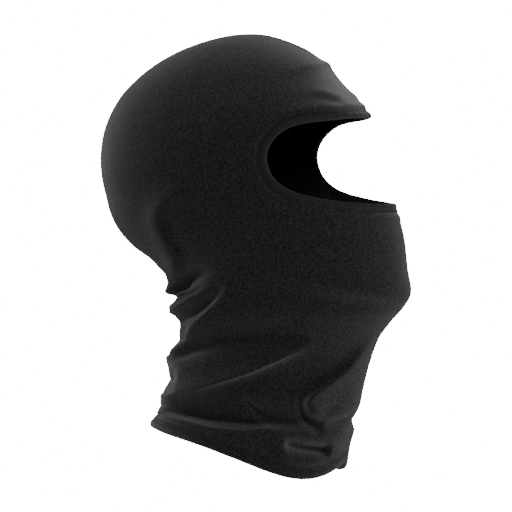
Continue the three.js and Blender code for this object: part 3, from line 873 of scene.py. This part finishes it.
def hem_fold():
    """The second layer of fleece, turned up on the inside."""
    near, far = FLEECE_THICKNESS + 0.25, 2 * FLEECE_THICKNESS + 0.15
    levels = [0.0, 0.6, 1.5, 4, 6, 8, HEM_DEPTH - 0.8, HEM_DEPTH]
    inner, outer = [], []
    for k, level in enumerate(levels):
        rows = rows_above_hem(level)
        point, normal = at_row(cloth, rows), at_row(final_normal, rows)
        pinch = 0.35 if k in (0, len(levels) - 1) else 0.0
        outer.append(point - normal * (near + pinch))
        inner.append(point - normal * (far - pinch))
    points, faces = sweep(list(np.stack(outer + inner[::-1], 1)))
    piece = new_object("hem_fold", points, faces, FLEECE)
    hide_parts("hem_fold")


def hem_stitches(height, name):
    """One of the two rows of stitches that hold the hem up."""
    rows = rows_above_hem(height)
    point, normal = at_row(cloth, rows), at_row(final_normal, rows)
    row_of_stitches(name, point + normal * 0.1, normal, HEM_STITCH_PITCH)


hem_fold()
for hem_row, row_name in zip(HEM_ROWS, ("hem_thread_lower", "hem_thread_upper")):
    hem_stitches(hem_row, row_name)

# ---------------------------------------------------------------- inside the seam

ALLOWANCE_WIDTH = 5.0
ALLOWANCE_THICKNESS = 2.6
CLEARANCE = 0.5


def seam_path():
    """Points and normals down the middle of the hood, from the dart over the crown to the hem."""
    front = np.linspace(dart_v, V[0], 26)[:-1]
    back = np.linspace(V[0], 1, 330)
    points, normals = (np.vstack([sample(grid, 0, front), sample(grid, math.pi, back)])
                       for grid in (cloth, final_normal))
    left_over = np.linalg.norm(points - points[-1], axis=-1) > HEM_DEPTH + 2 * CLEARANCE
    points, normals = points[left_over], normals[left_over]
    points[:, 0] = normals[:, 0] = 0
    for _ in range(12):
        normals[1:-1] = (normals[:-2] + 2 * normals[1:-1] + normals[2:]) / 4
        points[1:-1] = (points[:-2] + 2 * points[1:-1] + points[2:]) / 4
    return points, normals / np.linalg.norm(normals, axis=-1, keepdims=True)


seam_points, seam_normals = seam_path()
seam_at = running_length(seam_points)
seam_under = FLEECE_THICKNESS + CLEARANCE + 0.5


def seam_allowance():
    """The two raw edges, pressed flat, one a little narrower than the other."""
    half, thick = ALLOWANCE_WIDTH / 2, ALLOWANCE_THICKNESS
    outline = [(-half, -0.4), (half - 0.9, -0.35), (half - 0.5, -thick * 0.25), (half - 0.8, -thick * 0.46),
               (half - 1.3, -thick * 0.5), (half - 0.4, -thick * 0.54), (half, -thick * 0.76),
               (half - 0.3, -thick * 0.97), (-half, -thick)]
    sections = []
    for at, point, normal in zip(seam_at, seam_points, seam_normals):
        wave = 1 + 0.05 * math.sin(at * 0.9) + 0.04 * math.sin(at * 2.3 + 1)  # of the cut edge
        sections.append(np.array([
            point + normal * (up - seam_under) + np.array([across * (wave if across > 0 else 1), 0, 0])
            for across, up in outline]))
    points, faces = sweep(sections, loop=False)
    piece = new_object("crown_seam_allowance", points, faces, FLEECE)
    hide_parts("crown_seam_allowance")


def overlock():
    """The overlock thread: loops that lap to and fro over the allowance's free edge."""
    pitch, reach, radius = 2.6, 0.7, 0.26
    steps = int(seam_at[-1] / pitch) * 10
    at = np.linspace(1.5, seam_at[-1] - 1.5, steps)
    phase = 2 * math.pi * at / pitch
    normals = at_length(at, seam_at, seam_normals)
    depth = -seam_under - ALLOWANCE_THICKNESS * 0.55 + 0.35 * np.sin(phase)
    centre = at_length(at, seam_at, seam_points) + normals * depth[:, None]
    centre[:, 0] += ALLOWANCE_WIDTH / 2 + CLEARANCE + 0.55 + reach * np.cos(phase)
    along = np.gradient(centre, axis=0)
    along /= np.linalg.norm(along, axis=-1, keepdims=True)
    side = np.cross(along, normals)
    side /= np.linalg.norm(side, axis=-1, keepdims=True)
    up = np.cross(side, along)
    ring = np.arange(6) / 6 * 2 * math.pi
    sections = [c + radius * (np.outer(np.cos(ring), a) + np.outer(np.sin(ring), b))
                for c, a, b in zip(centre, side, up)]
    points, faces = sweep(sections, loop=False)
    piece = new_object("crown_seam_thread", points, faces, THREAD)
    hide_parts("crown_seam_thread")


seam_allowance()
overlock()

LABEL_WIDTH = 22.0
LABEL_LENGTH = 30.0
LABEL_THICKNESS = 0.5
LABEL_RISE = 57.5  # its sewn end, above the hem at the back
LABEL_BEND = 1.6  # how far its free end has swung away from the nape
LABEL_CURL = 0.5  # how far its long edges curl


def care_label():
    """A blank satin label, folded in two, that hangs from the seam and curls a little."""
    top = base_point(math.pi, 1.0)[2] + LABEL_RISE
    nape = np.interp(-top, -seam_points[:, 2], seam_points[:, 1])
    inside = FLEECE_THICKNESS + ALLOWANCE_THICKNESS + 0.6 + 4 * CLEARANCE
    loop = 2 * CLEARANCE
    thick = LABEL_THICKNESS
    path = [(0.0, -LABEL_LENGTH * k / 14) for k in range(15)]
    turn_round = loop / 2 + thick / 2
    path += [(-turn_round + turn_round * math.cos(t), -LABEL_LENGTH - turn_round * math.sin(t))
             for t in np.linspace(0.4, math.pi - 0.4, 6)]
    path += [(-2 * turn_round, -LABEL_LENGTH * k / 14) for k in range(14, -1, -1)]
    path = np.array(path)
    bend = LABEL_BEND * (path[:, 1] / LABEL_LENGTH) ** 2
    tangent = np.gradient(path, axis=0)
    tangent /= np.linalg.norm(tangent, axis=-1, keepdims=True)
    normal = np.stack([tangent[:, 1], -tangent[:, 0]], -1)
    ring = np.vstack([path + normal * thick / 2, (path - normal * thick / 2)[::-1]])
    lean = np.concatenate([bend, bend[::-1]])
    sections = []
    for x in np.linspace(-LABEL_WIDTH / 2, LABEL_WIDTH / 2, 13):
        curl = LABEL_CURL * (x / (LABEL_WIDTH / 2)) ** 2
        y = nape - inside + ring[:, 0] - lean - curl - thick
        sections.append(np.stack([np.full(len(ring), x), y, top + ring[:, 1]], -1))
    points, faces = sweep(sections, loop=False)
    piece = new_object("care_label", points, faces, SATIN)
    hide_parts("care_label")


care_label()

# ---------------------------------------------------------------- the camera and the light

target = (CAMERA_RIGHT * VIEW_AIM[0] + np.array([0, 0, VIEW_AIM[1]])) * MM
DISTANCE = VIEW_DISTANCE * MM
FRAME_HEIGHT = 0.3891  # of what the camera sees at the object
SENSOR = 36

camera_data = bpy.data.cameras.new("camera")
camera_data.sensor_width = SENSOR
camera_data.lens = SENSOR * DISTANCE / FRAME_HEIGHT
camera_data.clip_start = 0.1
camera_data.clip_end = 50
camera = bpy.data.objects.new("camera", camera_data)
camera.location = target + TO_CAMERA * DISTANCE
camera.rotation_euler = Vector(-TO_CAMERA).to_track_quat("-Z", "Y").to_euler()
bpy.context.scene.collection.objects.link(camera)
bpy.context.scene.camera = camera


def area_light(name, spot, size, power, aim=(0, 0, -0.03)):
    """A soft square light that faces the hood."""
    data = bpy.data.lights.new(name, "AREA")
    data.shape = "SQUARE"
    data.size = size
    data.energy = power
    lamp = bpy.data.objects.new(name, data)
    lamp.location = spot
    lamp.rotation_euler = (Vector(aim) - Vector(spot)).to_track_quat("-Z", "Y").to_euler()
    bpy.context.scene.collection.objects.link(lamp)


def seen_from_camera(side, up, near):
    """A place given as the camera sees it: to its right, up and towards it, in metres."""
    return tuple(CAMERA_RIGHT * side + np.array([0, 0, up]) + TO_CAMERA * near)


area_light("top_light", seen_from_camera(-0.75, 1.7, 0.0), 0.8, 16)
area_light("left_light", seen_from_camera(-1.7, 0.3, 0.4), 1.0, 0.9)
area_light("right_light", seen_from_camera(1.65, -0.45, 0.2), 1.0, 13)
area_light("front_light", seen_from_camera(0.0, 0.9, 2.2), 0.8, 12)

BACKDROP = 20.0  # strength of the white that the camera sees behind the object
AMBIENT = 0.13  # and of the white that lights it from all round

world = bpy.data.worlds.new("world")
bpy.context.scene.world = world
world.use_nodes = True
world_nodes, world_links = world.node_tree.nodes, world.node_tree.links
seen = world_nodes["Background"]
seen.inputs["Color"].default_value = (1, 1, 1, 1)
seen.inputs["Strength"].default_value = BACKDROP
felt = world_nodes.new("ShaderNodeBackground")
felt.inputs["Color"].default_value = (1, 1, 1, 1)
felt.inputs["Strength"].default_value = AMBIENT
ray = world_nodes.new("ShaderNodeLightPath")
pick_world = world_nodes.new("ShaderNodeMixShader")
world_links.new(ray.outputs["Is Camera Ray"], pick_world.inputs[0])
world_links.new(felt.outputs[0], pick_world.inputs[1])
world_links.new(seen.outputs[0], pick_world.inputs[2])
world_links.new(pick_world.outputs[0], world_nodes["World Output"].inputs["Surface"])

FLOOR = -0.32
FLOOR_HALF = 0.4
floor_mesh = bpy.data.meshes.new("floor")
corners = [(x * FLOOR_HALF, y * FLOOR_HALF - 0.03, FLOOR)
           for x, y in ((-1, -1), (1, -1), (1, 1), (-1, 1))]
floor_mesh.from_pydata(corners, [], [(0, 1, 2, 3)])
floor = bpy.data.objects.new("floor", floor_mesh)
bpy.context.scene.collection.objects.link(floor)
pale = bpy.data.materials.new("pale_floor")
pale.use_nodes = True
floor_shader = pale.node_tree.nodes["Principled BSDF"]
floor_shader.inputs["Base Color"].default_value = (0.9, 0.9, 0.9, 1)
floor_shader.inputs["Roughness"].default_value = 1.0
floor_mesh.materials.append(pale)
